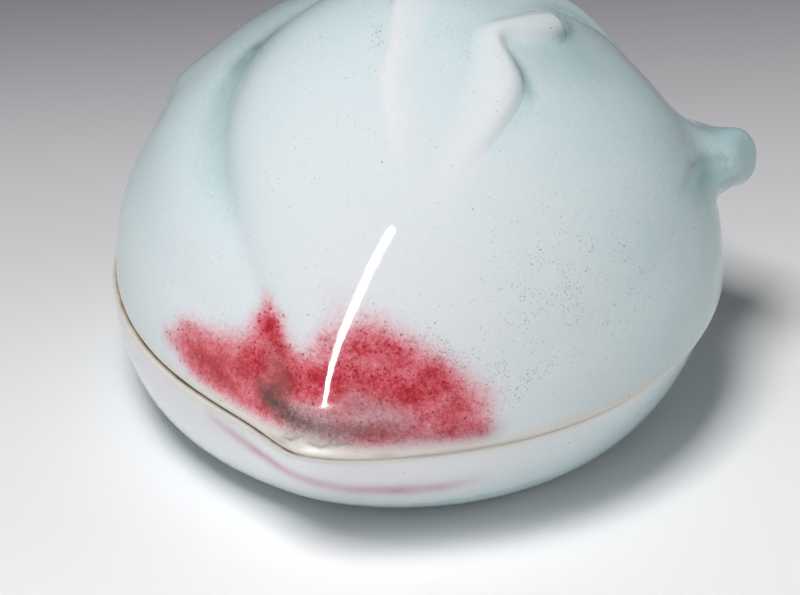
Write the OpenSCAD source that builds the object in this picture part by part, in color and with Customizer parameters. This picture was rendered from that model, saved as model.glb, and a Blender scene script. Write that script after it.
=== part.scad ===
// Incense box in the shape of a peach, in glazed porcelain.
// A tall lid, with a twig and its leaf laid on it, drops over a flange inside the rim of a shallow dish.
// Front is -Y, where the peach has its tip. The table is at z = 0, and the lid's axis is x = 0, y = 0.

/* [Fruit] */
// Half of the rim's width, left to right
half_width = 34.6; // [32:0.2:38]
// Half of the rim's length, front to back, without the tip
half_length = 34.4; // [32:0.2:38]
// Height of the seam above the table
seam_height = 15.4; // [13:0.2:19]
// Height of the crown above the seam
crown_rise = 36.2; // [32:0.2:42]
// Exponent of the lid's profile, where 2 is an ellipse
profile_power = 1.72; // [1.6:0.02:2.2]
// Swelling of the cheeks above the rim
cheek_swell = 1.9; // [1.4:0.1:3]
// Rounding of the two lips at the seam
lip_round = 0.9; // [0.4:0.1:1.3]

/* [Tip and cleft] */
// How far the tip stands out in front of the oval
tip_reach = 4.5; // [2:0.1:7]
// Angle over which the tip falls away on the left
tip_spread_left = 10; // [8:1:20]
// Angle over which the tip falls away on the right
tip_spread_right = 20; // [10:1:30]
// Angle above the seam at which the tip has melted into the cheek
tip_climb = 36; // [20:1:50]
// Height over the seam to which the tip's lip turns out
tip_flare = 1.6; // [0.8:0.1:3]
// Depth of the cleft
cleft_depth = 2.6; // [1:0.1:3]
// Half width of the cleft's valley
cleft_width = 4; // [3:0.2:6]
// Depth of the hollow round the stem
hollow_depth = 2.2; // [1:0.1:3]
// Radius of the hollow round the stem
hollow_radius = 9; // [6:0.5:11]
// Depth of the dent in the left shoulder
fold_dent = 0.85; // [0:0.05:1.2]
// Height of the swelling above that dent
fold_swell = 0.5; // [0:0.05:1]
// Radius of the dent and of the swelling
fold_radius = 4; // [3:0.2:6]

/* [Walls and seat] */
// Thickness of the lid's wall
lid_wall = 4.2; // [3.6:0.1:5]
// Thickness of the dish's floor
floor_thick = 3.6; // [2.6:0.2:5]
// Gap all round between the flange and the mouth of the lid
seat_gap = 0.4; // [0.2:0.05:0.7]
// Thickness of the flange
flange_thick = 2; // [1.4:0.1:3]
// Height of the flange above the seam
flange_rise = 3.4; // [2:0.2:5]
// Bevel of the flange's two top edges
flange_bevel = 0.5; // [0.2:0.1:0.6]
// Depth of the flange below the seam
flange_depth = 3; // [2:0.2:4]

/* [Dish and foot] */
// How far the edge of the dish's underside lies inside its rim
dish_inset = 7.8; // [5:0.2:10]
// Lean of the dish's lower body to the left
lean_left = 2.3; // [0:0.1:3]
// Lean of the dish's lower body to the back
lean_back = 1; // [0:0.1:2]
// Height of the foot ring
foot_height = 1; // [0.6:0.1:2]
// Width of the foot ring
foot_width = 3; // [2:0.2:5]
// Setback of the foot ring from the edge of the underside
foot_setback = 1; // [0.5:0.1:3]

/* [Twig and leaf] */
// Depth to which the twig and the leaf are pressed into the lid's skin
luting = 0.4; // [0.2:0.1:0.8]
// Radius of the twig
twig_radius = 3.4; // [2.6:0.1:3.8]
// Width of the leaf to the right of its midrib
leaf_half = 8.6; // [6:0.1:10]
// Width of the leaf to the left of its midrib
leaf_half_left = 9.6; // [6:0.1:10]
// Height of the leaf's rolled edge
leaf_edge = 1.1; // [0.8:0.1:2]
// Height of the blade between the rolled edges
leaf_blade = 0.4; // [0.3:0.1:0.8]
// Half width of the leaf's stalk
stalk_half = 1.7; // [1.2:0.1:2.4]
// Depth of the notch in the leaf's right edge
notch_depth = 5; // [0:0.2:5.4]
// Depth of the wave in the leaf's left edge
wave_depth = 1.4; // [0:0.1:3]

/* [Hidden] */

glaze_tone = "#cddee2";
ridge_tone = "#e2e6e6";
biscuit_tone = "#d9cdb8";

// Points round each ring, crowded towards the tip
sides = 84;
tip_heading = -90;
crowding = 0.45;

// Rings up the walls
lid_outer_rings = 23;
lid_inner_rings = 15;
dish_outer_rings = 9;
dish_inner_rings = 10;
lip_steps = 3;

dome_radius = (half_width + half_length + 2 * crown_rise) / 4;
flange_top = seam_height + flange_rise;
flange_foot = seam_height - flange_depth;
floor_top = foot_height + floor_thick;
dish_lean = [-lean_left, lean_back];

// Share of the tip's reach that belongs to its body, and not to the turned-out lip
tip_body = 0.7;
// Depth at which the tip's body has gone from the dish, as a share of the dish's height
tip_fall = 1.5;
// Share of the lean that the dish already has at its rim
rim_lean = 0.35;
// Exponents of the dish's profile, inwards and downwards
dish_round_in = 0.88;
dish_round_down = 1.32;
// Share of the cleft, the hollow and the fold that shows inside the lid
echo_share = 0.6;
// Angle above the seam below which the cleft, the hollow and the fold fade out
press_fade = 12;
// Rounding of the cleft's bottom
cleft_soft = 0.8;
// The cleft's strength at the tip, and its growth from there to the stem, where it is cut off at 1
cleft_start = 0.25;
cleft_growth = 1.1;

// Places on the lid are given as angles from the crown: to the right, then to the back
stem_place = [40, 45];
cleft_path = [[0, -90], [-18.5, -56], [-92, 6], stem_place];
cleft_steps = 22;
// The middles of the dent and of the swelling on the left shoulder
fold_dent_place = [-65.5, -6.5];
fold_swell_place = [-58, 2];
// From the stalk's root, at the twig, to the leaf's tip
midrib_path = [[56, 48], [20, 46], [0, 0], [16, -43]];
stalk_steps = 8;
blade_steps = 34;
leaf_columns = 8;
// Shares of the midrib's length: the stalk's end, then where each side is full and where it starts to taper
stalk_end = 0.44;
full_right = 0.58;
full_left = 0.62;
widest_right = 0.78;
widest_left = 0.68;
// Exponents of the taper of each side towards the leaf's tip
taper_right = 1.8;
taper_left = 1.5;
// Shares of the midrib's length at which the right edge is notched and the left edge is waved
notch_place = 0.693;
wave_place = 0.755;
// Length of a notch towards the leaf's tip, and how many times as long the right one is towards the stalk
notch_span = 0.035;
notch_lead = 2.9;
// Exponents of the rolled edge's rise and of its drop outside, and the share of its height that it drops
roll_rise = 3;
roll_drop = 10;
roll_share = 0.9;

// The twig's axis: places on the lid, then the axis's height over the skin and the thickness, both in radii
twig_path = [[[57.5, 48], -0.15, 0.95], [[61, 42], 0, 1], [[63, 38], 0.3, 1], [[64.5, 34.5], 0.9, 1]];
twig_steps = 4;
twig_sides = 12;
cap_steps = 4;
// Length of the twig's rounded end, as a share of its radius
cap_bulge = 0.9;

// Curves and blends

function smooth(x) = let (c = max(0, min(1, x))) c * c * (3 - 2 * c);

function bezier(p, t) =
    let (k = 1 - t)
    k * k * k * p[0] + 3 * k * k * t * p[1] + 3 * k * t * t * p[2] + t * t * t * p[3];

function bezier_slope(p, t) =
    let (k = 1 - t)
    3 * (k * k * (p[1] - p[0]) + 2 * k * t * (p[2] - p[1]) + t * t * (p[3] - p[2]));

// Curve through the points of a list, with its first and last point doubled
function through(list, i, t) =
    let (
        last = len(list) - 1,
        a = list[max(i - 1, 0)],
        b = list[i],
        c = list[i + 1],
        d = list[min(i + 2, last)]
    )
    b + t / 2 * (c - a + t * (2 * a - 5 * b + 4 * c - d + t * (3 * (b - c) + d - a)));

// The fruit's outline and skin

function heading(i) = let (turn = 360 * i / sides) tip_heading + turn - crowding * sin(turn) * 180 / PI;

function oval(a) = 1 / sqrt(pow(cos(a) / half_width, 2) + pow(sin(a) / half_length, 2));

function from_tip(a) = let (d = a - tip_heading) d - 360 * round(d / 360);

function tip_bump(a) =
    let (d = from_tip(a), spread = d < 0 ? tip_spread_left : tip_spread_right)
    tip_reach / (1 + pow(d / spread, 2));

// Share of the tip's reach that is left at a distance from the seam, where its body ends at climb
function tip_share(height, climb) =
    tip_body * pow(max(0, 1 - height / climb), 2) + (1 - tip_body) * exp(-height / tip_flare);

function dome(side, top, e) =
    pow(pow(cos(e) / side, profile_power) + pow(sin(e) / top, profile_power), -1 / profile_power);

function place(a, e) = (90 - e) * [cos(a), sin(a)];

// Depth of the cleft beside one stretch of its path
function groove(p, i) =
    let (
        from = bezier(cleft_path, i / cleft_steps),
        to = bezier(cleft_path, (i + 1) / cleft_steps),
        run = to - from,
        share = max(0, min(1, (p - from) * run / (run * run))),
        away = norm(p - from - share * run) * PI / 180 * dome_radius,
        along = (i + share) / cleft_steps,
        strength = smooth(cleft_start + cleft_growth * along)
    )
    cleft_depth * strength * exp((cleft_soft - norm([away, cleft_soft])) / cleft_width);

// Share from 1 at a middle to 0 well outside a radius
function round_spot(p, middle, radius) =
    let (away = norm(p - middle) * PI / 180 * dome_radius)
    exp(-pow(away / radius, 2));

// Depth of the small fold on the left shoulder: a dent under a swelling
function fold(p) =
    fold_dent * round_spot(p, fold_dent_place, fold_radius)
        - fold_swell * round_spot(p, fold_swell_place, fold_radius);

// How deep the skin is pressed in at one place
function press(a, e) =
    let (
        p = place(a, e),
        cleft = max([for (i = [0 : cleft_steps - 1]) groove(p, i)]),
        hollow = hollow_depth * round_spot(p, stem_place, hollow_radius)
    )
    smooth(e / press_fade) * (max(cleft, hollow) + fold(p));

function swell(e) = cheek_swell * sin(2 * e);

function skin(a, e) =
    let (tip = tip_bump(a) * tip_share(half_length * sin(e), half_length * sin(tip_climb)))
    dome(oval(a) + swell(e) + tip, crown_rise, e) - press(a, e);

function inner_skin(a, e) =
    dome(oval(a) - lid_wall + swell(e), crown_rise - lid_wall, e) - echo_share * press(a, e);

// Point at a distance from the middle of the seam's plane, drawn in towards the axis by cut
function over_seam(a, e, reach, cut = 0) =
    let (out = reach * cos(e) - cut)
    [out * cos(a), out * sin(a), seam_height + reach * sin(e)];

// Point over the skin of the lid at a place given as angles from the crown
function on_lid(p, height) =
    let (a = atan2(p.y, p.x), e = 90 - norm(p))
    over_seam(a, e, skin(a, e) + height);

// Closed skin from a start point over rings of points to an end point

module loft(start, rings, end) {
    n = len(rings[0]);
    last = len(rings) - 1;
    points = [start, for (r = rings, p = r) p, end];
    first_fan = [for (j = [0 : n - 1]) [0, 1 + j, 1 + (j + 1) % n]];
    last_fan = [for (j = [0 : n - 1]) [1 + n * (last + 1), 1 + n * last + (j + 1) % n, 1 + n * last + j]];
    walls = [
        for (i = [0 : last - 1], j = [0 : n - 1])
            let (a = 1 + n * i + j, b = 1 + n * i + (j + 1) % n)
            each [[a, a + n, b], [b, a + n, b + n]]
    ];
    polyhedron(points, concat(first_fan, walls, last_fan));
}

// Closed hoop over rings of points, the last joined to the first
module hoop(rings) {
    n = len(rings[0]);
    m = len(rings);
    points = [for (r = rings, p = r) p];
    walls = [
        for (i = [0 : m - 1], j = [0 : n - 1])
            let (k = (j + 1) % n, here = n * i, next = n * ((i + 1) % m))
            each [[here + j, next + j, here + k], [here + k, next + j, next + k]]
    ];
    polyhedron(points, walls);
}

// Dish

function dish_in(k) = dish_inset * (1 - pow(cos(90 * k), dish_round_in));
function dish_down(k) = pow(sin(90 * k), dish_round_down);
function dish_turn(share) = asin(pow(share, 1 / dish_round_down)) / 90;

// Point of the dish's outside, where k runs from 0 at the rim to 1 at the underside's edge
function dish_outside(a, k, cut = 0) =
    let (
        height = seam_height - foot_height,
        drop = height * dish_down(k),
        out = oval(a) + tip_bump(a) * tip_share(drop, tip_fall * height) - dish_in(k) - cut,
        shift = dish_lean * (rim_lean + (1 - rim_lean) * dish_down(k))
    )
    [out * cos(a) + shift.x, out * sin(a) + shift.y, seam_height - drop];

function mouth(a) = oval(a) - lid_wall - seat_gap;

// Point of the dish's inside below the flange, where k runs from 0 at the wall to 1 at the floor
function dish_inside(a, k) =
    let (out = mouth(a) - dish_in(k), shift = dish_lean * dish_down(k))
    [
        out * cos(a) + shift.x,
        out * sin(a) + shift.y,
        flange_foot - (flange_foot - floor_top) * dish_down(k)
    ];

function level_ring(z, out) =
    [for (i = [0 : sides - 1]) let (a = heading(i)) [out(a) * cos(a), out(a) * sin(a), z]];

module base_dish() {
    inside = [
        for (m = [0 : dish_inner_rings])
            [for (i = [0 : sides - 1]) dish_inside(heading(i), m / dish_inner_rings)]
    ];
    mouth_ring = level_ring(seam_height, function (a) mouth(a));
    lip_share = lip_round / (seam_height - foot_height);
    lip = [
        for (j = [lip_steps : -1 : 0])
            let (turn = 90 * j / lip_steps, k = dish_turn(lip_share * (1 - cos(turn))))
            [for (i = [0 : sides - 1]) dish_outside(heading(i), k, lip_round * (1 - sin(turn)))]
    ];
    lip_end = dish_turn(lip_share);
    outside = [
        for (m = [dish_outer_rings : -1 : 1])
            let (k = lip_end + (1 - lip_end) * m / dish_outer_rings)
            [for (i = [0 : sides - 1]) dish_outside(heading(i), k)]
    ];
    middle = [dish_lean.x, dish_lean.y];
    rings = concat(outside, lip, [mouth_ring], inside);
    color(glaze_tone)
        loft([each middle, foot_height], rings, [each middle, floor_top]);
}

module foot_outline(inset) {
    polygon([
        for (i = [0 : sides - 1])
            let (a = heading(i))
            (oval(a) - dish_inset - inset) * [cos(a), sin(a)]
    ]);
}

module foot_ring() {
    color(biscuit_tone)
        translate([dish_lean.x, dish_lean.y, 0])
            linear_extrude(foot_height)
                difference() {
                    foot_outline(foot_setback);
                    foot_outline(foot_setback + foot_width);
                }
}

module seat_flange() {
    profile = [
        [0, flange_foot],
        [0, flange_top - flange_bevel],
        [flange_bevel, flange_top],
        [flange_thick - flange_bevel, flange_top],
        [flange_thick, flange_top - flange_bevel],
        [flange_thick, flange_foot]
    ];
    color(ridge_tone)
        hoop([for (p = profile) level_ring(p.y, function (a) mouth(a) - p.x)]);
}

// Lid

module lid_shell() {
    inside = [
        for (m = [lid_inner_rings - 1 : -1 : 0])
            let (e = 90 * m / lid_inner_rings)
            [for (i = [0 : sides - 1]) over_seam(heading(i), e, inner_skin(heading(i), e))]
    ];
    lip = [
        for (j = [0 : lip_steps])
            let (turn = 90 * j / lip_steps, e = asin(lip_round * (1 - cos(turn)) / half_width))
            [
                for (i = [0 : sides - 1])
                    over_seam(heading(i), e, skin(heading(i), e), lip_round * (1 - sin(turn)))
            ]
    ];
    lip_end = asin(lip_round / half_width);
    outside = [
        for (m = [1 : lid_outer_rings - 1])
            let (e = lip_end + (90 - lip_end) * m / lid_outer_rings)
            [for (i = [0 : sides - 1]) over_seam(heading(i), e, skin(heading(i), e))]
    ];
    rings = concat(inside, lip, outside);
    color(glaze_tone)
        loft(over_seam(0, 90, inner_skin(0, 90)), rings, over_seam(0, 90, skin(0, 90)));
}

// Twig

// Points of the axis, each followed by the twig's radius there
twig_axis = [for (w = twig_path) [each on_lid(w[0], w[1] * twig_radius), w[2] * twig_radius]];
twig_line = [
    for (i = [0 : len(twig_axis) - 2], j = [0 : twig_steps - 1]) through(twig_axis, i, j / twig_steps),
    twig_axis[len(twig_axis) - 1]
];

function point(w) = [w.x, w.y, w.z];

// Ring of points square to a direction
function collar(middle, along, radius) =
    let (
        ahead = along / norm(along),
        side = cross([0, 0, 1], ahead) / norm(cross([0, 0, 1], ahead)),
        up = cross(ahead, side)
    )
    [
        for (j = [0 : twig_sides - 1])
            let (t = 360 * j / twig_sides)
            middle + radius * (cos(t) * side + sin(t) * up)
    ];

module twig() {
    last = len(twig_line) - 1;
    root = point(twig_line[0]);
    end = point(twig_line[last]);
    leave = point(twig_line[1]) - root;
    arrive = end - point(twig_line[last - 1]);
    inward = -leave / norm(leave);
    outward = arrive / norm(arrive);
    body = [
        for (i = [0 : last])
            collar(
                point(twig_line[i]),
                point(twig_line[min(i + 1, last)] - twig_line[max(i - 1, 0)]),
                twig_line[i][3]
            )
    ];
    end_cap = [
        for (c = [cap_steps - 1 : -1 : 1])
            let (t = 90 * c / cap_steps)
            collar(end + outward * twig_radius * cap_bulge * cos(t), outward, twig_radius * sin(t))
    ];
    color(glaze_tone)
        loft(root + inward * luting, concat(body, end_cap), end + outward * twig_radius * cap_bulge);
}

// Leaf

// Width of one side of the leaf, where s runs along the midrib from the stalk's root to the tip
function leaf_width(s, half, full, widest, taper) =
    let (
        grown = stalk_half + (half - stalk_half) * smooth((s - stalk_end) / (full - stalk_end)),
        past = max(0, (s - widest) / (1 - widest))
    )
    grown * (1 - pow(past, taper));

function dip(s, middle, lead) = exp(-pow((s - middle) / notch_span / (s < middle ? lead : 1), 2));

function right_width(s) =
    leaf_width(s, leaf_half, full_right, widest_right, taper_right)
        - notch_depth * dip(s, notch_place, notch_lead);

function left_width(s) =
    leaf_width(s, leaf_half_left, full_left, widest_left, taper_left) - wave_depth * dip(s, wave_place, 1);

// Place on the lid, where q runs from -1 at the left edge to 1 at the right edge
function leaf_place(s, q) =
    let (
        slope = bezier_slope(midrib_path, s),
        right = [-slope.y, slope.x] / norm(slope),
        across = q * (q > 0 ? right_width(s) : left_width(s))
    )
    bezier(midrib_path, s) + right * across * 180 / PI / dome_radius;

function leaf_height(s, q) =
    let (
        roll = leaf_blade + (leaf_edge - leaf_blade) * pow(abs(q), roll_rise),
        blade = roll * sqrt(1 - roll_share * pow(abs(q), roll_drop)),
        stalk = stalk_half * sqrt(1 - q * q)
    )
    stalk + (blade - stalk) * smooth((s - stalk_end) / (full_left - stalk_end));

module leaf() {
    stations = [
        for (i = [0 : stalk_steps - 1]) stalk_end * i / stalk_steps,
        for (i = [0 : blade_steps - 1]) stalk_end + (1 - stalk_end) * i / blade_steps
    ];
    rings = [
        for (s = stations)
            [
                for (j = [leaf_columns : -1 : 0])
                    let (q = 2 * j / leaf_columns - 1)
                    on_lid(leaf_place(s, q), leaf_height(s, q)),
                for (j = [0 : leaf_columns])
                    let (q = 2 * j / leaf_columns - 1)
                    on_lid(leaf_place(s, q), -luting)
            ]
    ];
    color(ridge_tone)
        loft(on_lid(leaf_place(0, 0), 0), rings, on_lid(leaf_place(1, 0), 0));
}

base_dish();
foot_ring();
seat_flange();
lid_shell();
twig();
leaf();
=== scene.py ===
import bpy
import numpy as np
from mathutils import Matrix, Vector


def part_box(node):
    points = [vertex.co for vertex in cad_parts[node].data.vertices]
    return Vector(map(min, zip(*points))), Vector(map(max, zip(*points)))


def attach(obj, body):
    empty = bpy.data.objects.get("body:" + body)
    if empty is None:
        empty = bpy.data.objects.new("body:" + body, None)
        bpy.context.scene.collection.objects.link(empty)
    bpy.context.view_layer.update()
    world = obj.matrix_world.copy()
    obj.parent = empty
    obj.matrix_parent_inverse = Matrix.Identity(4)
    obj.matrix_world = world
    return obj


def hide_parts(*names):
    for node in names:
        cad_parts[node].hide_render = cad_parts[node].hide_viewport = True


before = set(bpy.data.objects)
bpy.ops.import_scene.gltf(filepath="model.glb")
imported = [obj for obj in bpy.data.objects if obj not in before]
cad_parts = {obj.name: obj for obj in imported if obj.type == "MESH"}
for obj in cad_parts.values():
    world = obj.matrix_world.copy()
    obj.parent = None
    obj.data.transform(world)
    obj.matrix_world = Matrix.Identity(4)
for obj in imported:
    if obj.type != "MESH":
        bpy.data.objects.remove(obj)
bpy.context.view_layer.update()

# Dish
# The lower half of the box: a shallow porcelain dish, press-moulded to the peach's outline, its tip in front.
# It is glazed inside and out, thin and cream on the rim, with a faint copper brush line below it.
# Sizes are in millimetres and angles in degrees. A mesh is turned to metres as it is made.

MM = 0.001
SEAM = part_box("lid_shell")[0].z / MM
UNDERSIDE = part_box("base_dish")[0].z / MM
FLANGE_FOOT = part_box("seat_flange")[0].z / MM

HALF_WIDTH = 34.6
HALF_LENGTH = 34.4
TIP_HEADING = -90
TIP_REACH = 4.5
TIP_SPREAD_LEFT = 10
TIP_SPREAD_RIGHT = 20
TIP_BODY = 0.7
TIP_FLARE = 1.6
TIP_FALL = 1.5
LIP_ROUND = 0.9
LID_WALL = 4.2
SEAT_GAP = 0.4

FLOOR_THICK = 3.6
DISH_INSET = 7.8
DISH_LEAN = np.array([-2.3, 1.0])
RIM_LEAN = 0.35
DISH_ROUND_IN = 0.88
DISH_ROUND_DOWN = 1.32

# Points round each ring, crowded towards the tip
SIDES = 420
CROWDING = 0.5
DISH_RINGS = 44
LIP_RINGS = 9
FLOOR_RINGS = 12


def smooth(x):
    c = np.clip(x, 0, 1)
    return c * c * (3 - 2 * c)


def cosd(a):
    return np.cos(np.radians(a))


def sind(a):
    return np.sin(np.radians(a))


def headings(sides):
    turn = 360 * np.arange(sides) / sides
    return TIP_HEADING + turn - CROWDING * np.degrees(sind(turn))


def heading_of(points):
    """Headings of points as they are seen from the upright axis."""
    return np.degrees(np.arctan2(points[..., 1], points[..., 0]))


def off_axis(points):
    """Distances of points from the upright axis."""
    return np.hypot(points[..., 0], points[..., 1])


def oval(a):
    return 1 / np.hypot(cosd(a) / HALF_WIDTH, sind(a) / HALF_LENGTH)


def from_tip(a):
    d = a - TIP_HEADING
    return d - 360 * np.round(d / 360)


def tip_bump(a):
    d = from_tip(a)
    return TIP_REACH / (1 + (d / np.where(d < 0, TIP_SPREAD_LEFT, TIP_SPREAD_RIGHT)) ** 2)


def tip_share(height, climb):
    """Share of the tip's reach that is left at a distance from the seam, where its body ends at climb."""
    body = np.maximum(0, 1 - height / climb) ** 2
    return TIP_BODY * body + (1 - TIP_BODY) * np.exp(-height / TIP_FLARE)


def round_axis(a, out, z, shift=(0, 0)):
    """Points at distances from an upright axis, which may be shifted."""
    a, out, z = np.broadcast_arrays(a, out, z)
    return np.stack([out * cosd(a) + shift[0], out * sind(a) + shift[1], z], -1)


def dish_down(k):
    return sind(90 * k) ** DISH_ROUND_DOWN


def dish_in(k):
    return DISH_INSET * (1 - np.maximum(cosd(90 * k), 0) ** DISH_ROUND_IN)


def dish_turn(share):
    return np.degrees(np.arcsin(share ** (1 / DISH_ROUND_DOWN))) / 90


def dish_outside(a, k, cut=0):
    """Ring of the dish's outside, where k runs from 0 at the rim to 1 at the edge of the underside."""
    height = SEAM - UNDERSIDE
    drop = height * dish_down(k)
    out = oval(a) + tip_bump(a) * tip_share(drop, TIP_FALL * height) - dish_in(k) - cut
    return round_axis(a, out, SEAM - drop, DISH_LEAN * (RIM_LEAN + (1 - RIM_LEAN) * dish_down(k)))


def mouth(a):
    return oval(a) - LID_WALL - SEAT_GAP


def dish_inside(a, k):
    """Ring of the dish's inside below the flange, where k runs from 0 at the wall to 1 at the floor."""
    floor = UNDERSIDE + FLOOR_THICK
    z = FLANGE_FOOT - (FLANGE_FOOT - floor) * dish_down(k)
    return round_axis(a, mouth(a) - dish_in(k), z, DISH_LEAN * dish_down(k))


def towards(ring, middle, steps):
    """Rings that draw a ring in to its middle."""
    return [ring + (middle - ring) * i / steps for i in range(1, steps)]


def add_mesh(name, rings, ends=None):
    """A piece over rings of points, closed by a point at each end or else round to the first ring."""
    rings = np.asarray(rings, float)
    count, sides = rings.shape[:2]
    points = rings.reshape(-1, 3)
    spans = count - 1 if ends else count
    here = (np.arange(spans) * sides)[:, None]
    ahead = ((np.arange(spans) + 1) % count * sides)[:, None]
    side = np.arange(sides)
    beside = (side + 1) % sides
    faces = np.stack([here + side, here + beside, ahead + beside, ahead + side], -1).reshape(-1, 4).tolist()
    if ends:
        first = len(points)
        last_ring = (count - 1) * sides
        points = np.vstack([points, *ends])
        faces += [[first, b, s] for s, b in zip(side.tolist(), beside.tolist())]
        faces += [[first + 1, last_ring + s, last_ring + b] for s, b in zip(side.tolist(), beside.tolist())]
    mesh = bpy.data.meshes.new(name)
    mesh.from_pydata(points * MM, [], faces)
    mesh.shade_smooth()
    piece = bpy.data.objects.new(name, mesh)
    bpy.context.collection.objects.link(piece)
    return piece


def points_of(piece):
    flat = np.empty(3 * len(piece.data.vertices), np.float32)
    piece.data.vertices.foreach_get("co", flat)
    return flat.reshape(-1, 3).astype(float) / MM


def paint(piece, **layers):
    """Keeps values for each point of a piece, which its material reads by their names."""
    count = len(piece.data.vertices)
    for name, values in layers.items():
        layer = piece.data.attributes.new(name, "FLOAT", "POINT")
        layer.data.foreach_set("value", np.broadcast_to(values, count).astype(np.float32))


def nearest(points, a, b):
    """Share of the way from a to b that is nearest to points, and the offset of the points from there."""
    run = b - a
    share = np.clip((points - a) @ run / (run @ run), 0, 1)
    return share, points - a - share[..., None] * run


def brushed(points, strokes):
    """Pigment that a brush leaves on points. A stroke's rows hold a point, a half width and a load."""
    clear = np.ones(len(points))
    for stroke in strokes:
        left = np.zeros(len(points))
        for (a, wide_a, load_a), (b, wide_b, load_b) in zip(stroke, stroke[1:]):
            share, offset = nearest(points, a, b)
            wide = wide_a + share * (wide_b - wide_a)
            load = load_a + share * (load_b - load_a)
            left = np.maximum(left, load * np.exp(-((np.linalg.norm(offset, axis=1) / wide) ** 2)))
        clear *= 1 - left
    return 1 - clear


GLAZE_LEAST = 0.03
GLAZE_MOST = 0.55
LIP_BLUR = 0.6


def glaze_slope(points, middle, slope):
    """Thickness of the glaze at points: it grows along a slope."""
    return np.clip(middle + (points - [0, 0, SEAM]) / HALF_WIDTH @ slope, GLAZE_LEAST, GLAZE_MOST)


def on_lip(points):
    """Share from 0 on the flat seat inside a lip to 1 on its rounded edge."""
    return smooth(0.5 + (off_axis(points) - oval(heading_of(points)) + LIP_ROUND) / LIP_BLUR)


def tone(red, green, blue):
    """A colour as it is seen on a screen, from 0 to 255, in the linear form that a shader takes."""
    seen = np.array([red, green, blue]) / 255
    linear = np.where(seen <= 0.04045, seen / 12.92, ((seen + 0.055) / 1.055) ** 2.4)
    return (*linear.tolist(), 1)


class Wire:
    """A socket in a material's nodes. Arithmetic on wires adds Math nodes."""

    def __init__(self, tree, socket=None):
        self.tree = tree
        self.socket = socket

    def node(self, kind, settings, inputs, output=0):
        """The output of a new node, whose settings are made before its sockets are set or linked."""
        made = self.tree.nodes.new(kind)
        for name, value in settings.items():
            setattr(made, name, value)
        for name, value in inputs.items():
            self.feed(made.inputs[name], value)
        return Wire(self.tree, made.outputs[output])

    def feed(self, socket, value):
        if isinstance(value, Wire):
            self.tree.links.new(value.socket, socket)
        else:
            socket.default_value = value

    def maths(self, operation, *values):
        return self.node("ShaderNodeMath", {"operation": operation}, dict(enumerate(values)))

    def __add__(self, other):
        return self.maths("ADD", self, other)

    def __radd__(self, other):
        return self.maths("ADD", other, self)

    def __sub__(self, other):
        return self.maths("SUBTRACT", self, other)

    def __rsub__(self, other):
        return self.maths("SUBTRACT", other, self)

    def __mul__(self, other):
        return self.maths("MULTIPLY", self, other)

    def __rmul__(self, other):
        return self.maths("MULTIPLY", other, self)

    def __truediv__(self, other):
        return self.maths("DIVIDE", self, other)

    def __lt__(self, other):
        return self.maths("LESS_THAN", self, other)

    def output(self, name):
        """Another output of this wire's node."""
        return Wire(self.tree, self.socket.node.outputs[name])

    def step(self, low, high):
        """A soft step from 0 at low to 1 at high."""
        ends = {"Value": self, "From Min": low, "From Max": high}
        return self.node("ShaderNodeMapRange", {"interpolation_type": "SMOOTHSTEP"}, ends)

    def blend(self, under, over):
        """A colour that goes from one to another as this wire goes from 0 to 1."""
        return self.node("ShaderNodeMix", {"data_type": "RGBA"}, {0: self, 6: under, 7: over}, 2)

    def swing(self, amount):
        """A factor that swings about 1 as this wire, a noise, goes from 0 to 1."""
        return (1 - amount / 2) + amount * self

    def layer(self, name):
        return self.node("ShaderNodeAttribute", {"attribute_name": name}, {}, "Fac")

    def place(self):
        return self.node("ShaderNodeTexCoord", {}, {}, "Object")

    def noise(self, size, detail=2):
        """Cloudy noise from 0 to 1 with marks of about a size in millimetres."""
        looks = {"Vector": self.place(), "Scale": 1 / (size * MM), "Detail": detail}
        return self.node("ShaderNodeTexNoise", {}, looks, "Fac")

    def specks(self, size, share, radius):
        """Round specks in a share of the cells of a size in millimetres, with a radius in cells."""
        cells = self.node("ShaderNodeTexVoronoi", {}, {"Vector": self.place(), "Scale": 1 / (size * MM)})
        chance = self.node("ShaderNodeSeparateColor", {}, {"Color": cells.output("Color")}, "Red")
        return (chance < share) * (1 - cells.output("Distance").step(0.5 * radius, radius))


def finish(name, looks):
    """A material whose shader takes the values and wires that looks gives for its sockets."""
    made = bpy.data.materials.new(name)
    made.use_nodes = True
    start = Wire(made.node_tree)
    shader = made.node_tree.nodes["Principled BSDF"]
    for socket, value in looks(start).items():
        start.feed(shader.inputs[socket], value)
    return made


THIN_GLAZE = tone(237, 237, 241)
BODY_GLAZE = tone(214, 230, 233)
BODY_THICK = 0.32
POOLED_GLAZE = tone(142, 182, 186)
CREAM_LIP = tone(228, 221, 209)
COPPER_WASH = tone(232, 138, 154)
COPPER_MAUVE = tone(196, 142, 160)
COPPER_RED = tone(208, 56, 70)
COPPER_DEEP = tone(164, 18, 30)
COPPER_DARK = tone(146, 22, 46)
# Grey-brown of the smudges near the tip and of the painted shade in the creases
SMUDGE_AND_SHADE_TONE = tone(80, 58, 54)
IRON_TONE = tone(112, 112, 94)
STAIN_TONE = tone(104, 84, 54)

# Sizes of the marks in the glaze, how far they swing its thickness, its pigments and the painted shade, and
# its faint relief
FINE_MARKS = 0.25
GRAIN_MARKS = 0.6
PATCH_MARKS = 2.4
CLOUD_MARKS = 9
CLOUD_SWING = 0.6
FINE_SWING = 0.25
GRAIN_SWING = 0.15
MAUVE_SWING = 0.8
SMUDGE_AND_SHADE_SWING = 0.6
STAIN_SWING = 1.6
PEEL_STRENGTH = 0.3
PEEL_DEPTH = 0.01
PEEL_FINE = 0.4

# Roughness of the clean glaze, and what its grain, the lip, stains and the grey-brown layer of smudges and
# painted shade add to it
GLOSS = 0.03
GRAIN_MATT = 0.04
LIP_MATT = 0.35
STAIN_MATT = 0.3
SMUDGE_AND_SHADE_MATT = 0.5
SMUDGE_AND_SHADE_SEEN = (0.05, 0.3)
GLAZE_IOR = 1.5

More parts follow.
